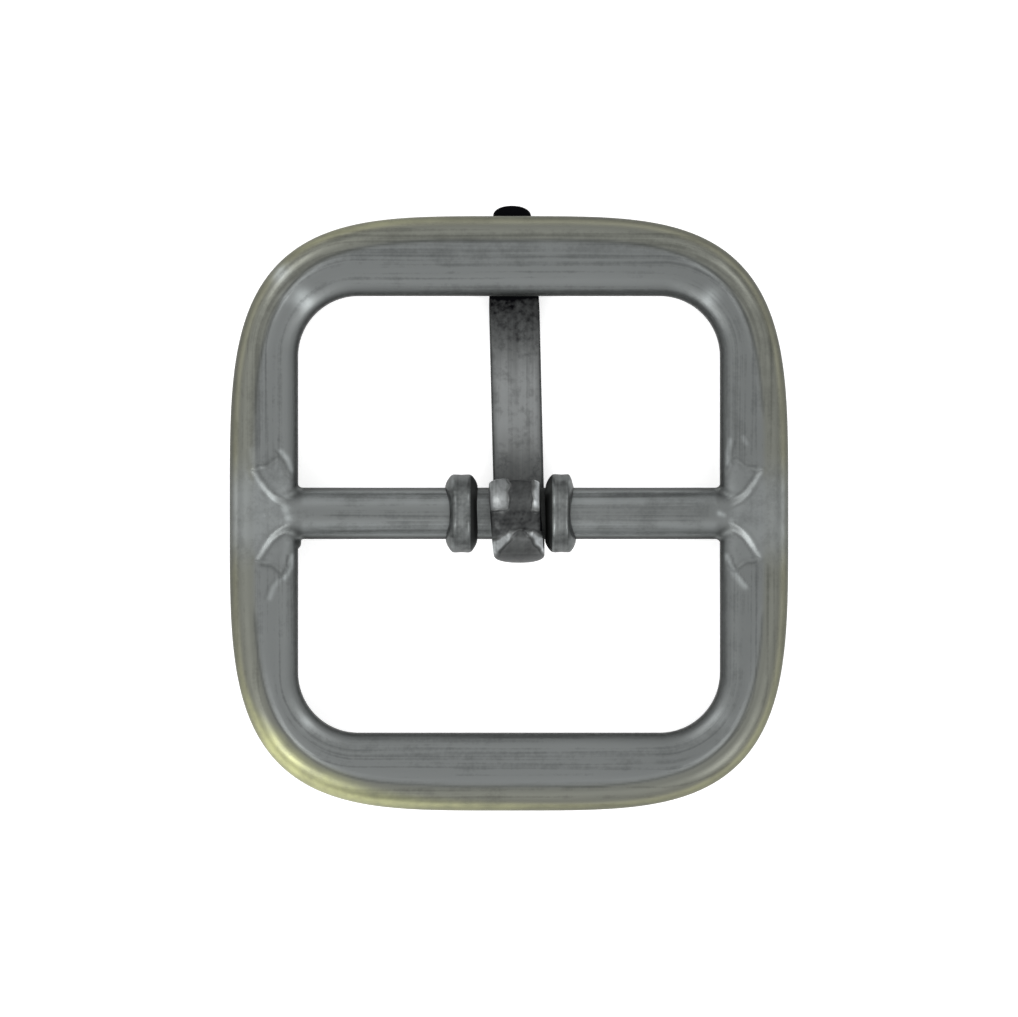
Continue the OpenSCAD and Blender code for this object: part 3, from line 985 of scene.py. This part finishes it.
def dress_prong(made):
    x, y, z = points_of(made).T
    attribute(made, "brush", np.stack([x, y * 0.9, z], axis=1))
    radius = np.hypot(y, z)
    front = rise(z, 0.3, 0.6) * rise(radius, EYE_R + 0.5, 0.3)
    # Painted shade in the punch mark, along the strip's edges, at the fan's edge and below the fan
    mark, below = mark_inset(x, y), below_mark(y)
    in_fan = rise(below, 0.1, 0.5)
    in_band = fall(np.abs(y - MARK_Y), MARK_ACROSS_HALF_H - 0.2, 0.4)
    struck = mix(0.68, 0.40, in_fan) + 0.16 * in_band
    struck += 0.035 * ripple(x, y, 0.5, 43) + 0.05 * ripple(x, y, 1.3, 47)
    strip_edge = rise(np.abs(x - STRIP_ROOT_X + STRIP_LEAN * y), STRIP_HALF_W - 0.42, 0.3) * (1 - front)
    fan_line = near_line(mark - 0.18, 0.2) * in_fan
    foot = rise(below, 1.75, 0.35)
    attribute(made, "painted_shade", np.max([0.75 * strip_edge, front * rise(mark, -0.15, 0.45) * struck,
                                      0.75 * front * fan_line, 0.6 * front * foot], axis=0))
    # Painted shadow of the top rail and of the eye on the strip, and painted shade inside the bore, in the
    # punch mark, below the tail's end and in the gap by the right collar, with a mottled tone over the eye's
    # front
    mottle = 0.07 * ripple(x, y, 0.9, 31)
    under_rail = np.interp(y, DARKENING_Y, RAIL_SHADOW)
    near_eye = 0.5 * fall(y, 4.2, 4.5) * (1 - front) * rise(y, 2.0, 0.5)
    inside = fall(radius, 2.65, 0.1) * rise(z, -2.4, 0.3)
    in_mark = front * rise(mark, -0.15, 0.5) * (mix(0.40, 0.32, in_fan) + mottle)
    tail_end = 0.3 * front * rise(mark, -0.5, 0.4) * near_line(y - 3.05, 0.3)
    land = front * (0.2 + 1.6 * mottle)
    right_side = front * rise(x, 2.78, 0.2) * rise(y, -1.9, 0.3)
    attribute(made, "shadow_and_mottle", np.max([under_rail, near_eye, inside, in_mark, tail_end, land, right_side],
                                   axis=0))
    # Painted highlights on the lands of the eye, and a faint one along the middle of the strip
    left = x < MARK_X
    land_highlight = np.maximum(np.where(left, 0.27, 0.6), np.where(left, 0.8, 1.15) * rise(below, -0.2, 0.4))
    land_highlight = np.minimum(land_highlight, 1) * front * fall(mark, -0.25, 0.25) * (1 - right_side)
    middle = 0.12 * rise(y, 6.0, 3.0) * fall(y, 13.0, 3.0)
    attribute(made, "painted_highlight", land_highlight + middle)
    for name in ("worn", "tarnish", "calm"):
        attribute(made, name, np.zeros_like(x))


# ---------------------------------------------------------------- stage, lights and camera

# The floor is a light table, which glows a little from below
FLOOR_GLOW = 0.5


def make_floor():
    size, z = 4000.0, cad_low.z / MM - 0.02
    corners = [(-size, -size, z), (size, -size, z), (size, size, z), (-size, size, z)]
    floor = mesh_object("floor", corners, [(0, 1, 2, 3)])
    n = Nodes("pale_floor")
    place = n.tree.nodes.new("ShaderNodeTexCoord").outputs["Object"]
    n.put(n.shader.inputs["Base Color"],
          n.blend(rgba(0.93, 0.93, 0.93), rgba(0.95, 0.95, 0.95), n.noise(place, 30.0)))
    n.shader.inputs["Emission Color"].default_value = rgba(1, 1, 1)
    n.shader.inputs["Emission Strength"].default_value = FLOOR_GLOW
    n.shader.inputs["Roughness"].default_value = 0.9
    n.shader.inputs["Specular IOR Level"].default_value = 0.0
    floor.data.materials.append(n.material)


def make_world():
    """A plain soft tent: brightest overhead, and a little dimmer at the sides and below."""
    world = bpy.data.worlds.new("tent")
    bpy.context.scene.world = world
    world.use_nodes = True
    tree = world.node_tree
    direction = tree.nodes.new("ShaderNodeTexCoord").outputs["Generated"]
    split = tree.nodes.new("ShaderNodeSeparateXYZ")
    tree.links.new(direction, split.inputs[0])
    ramp = tree.nodes.new("ShaderNodeValToRGB")
    ramp.color_ramp.interpolation = "EASE"
    for stop, (place, tone) in zip(ramp.color_ramp.elements, ((0.1, 0.75), (0.9, 1.0))):
        stop.position = place
        stop.color = rgba(tone, tone, tone)
    tree.links.new(split.outputs["Z"], ramp.inputs[0])
    tree.links.new(ramp.outputs[0], tree.nodes["Background"].inputs["Color"])
    tree.nodes["Background"].inputs["Strength"].default_value = 1.0


LIGHT_DISTANCE, LIGHT_SIZE, LIGHT_TILT = 600.0, 200.0, math.radians(50)


def soft_light(name, turn, brightness):
    """A square soft box that faces the buckle from a direction in degrees."""
    data = bpy.data.lights.new(name, "AREA")
    data.shape, data.size = "SQUARE", LIGHT_SIZE * MM
    data.energy = brightness * math.pi * (LIGHT_SIZE * MM) ** 2
    light = bpy.data.objects.new(name, data)
    turn = math.radians(turn)
    side = math.sin(LIGHT_TILT)
    towards = Vector((side * math.cos(turn), side * math.sin(turn), math.cos(LIGHT_TILT)))
    light.location = LIGHT_DISTANCE * MM * towards
    light.rotation_euler = (-light.location).to_track_quat("-Z", "Y").to_euler()
    bpy.context.scene.collection.objects.link(light)


def make_camera():
    """Straight above the front, far off with a long lens."""
    view_width, lens, sensor = 96.15, 400.0, 36.0
    data = bpy.data.cameras.new("camera")
    data.lens, data.sensor_width = lens, sensor
    camera = bpy.data.objects.new("camera", data)
    camera.location = Vector((0.0, 0.46, CROWN_Z + view_width * lens / sensor)) * MM
    bpy.context.scene.collection.objects.link(camera)
    bpy.context.scene.camera = camera


make_camera()
make_world()
make_floor()
for light_name, light_turn, light_brightness in (
        ("soft_upper_left", 135, 5.0), ("soft_lower_left", -135, 7.0),
        ("soft_lower_right", -45, 6.0), ("soft_upper_right", 45, 4.0)):
    soft_light(light_name, light_turn, light_brightness)

stand_for(make_frame(), "frame", "frame", NICKEL)
for side in ("stop_collar_left", "stop_collar_right"):
    stand_for(make_collar(side), side, "frame", NICKEL)
stand_for(make_prong(), "prong", "prong", DARK_NICKEL)

bpy.context.scene.view_settings.view_transform = "Standard"
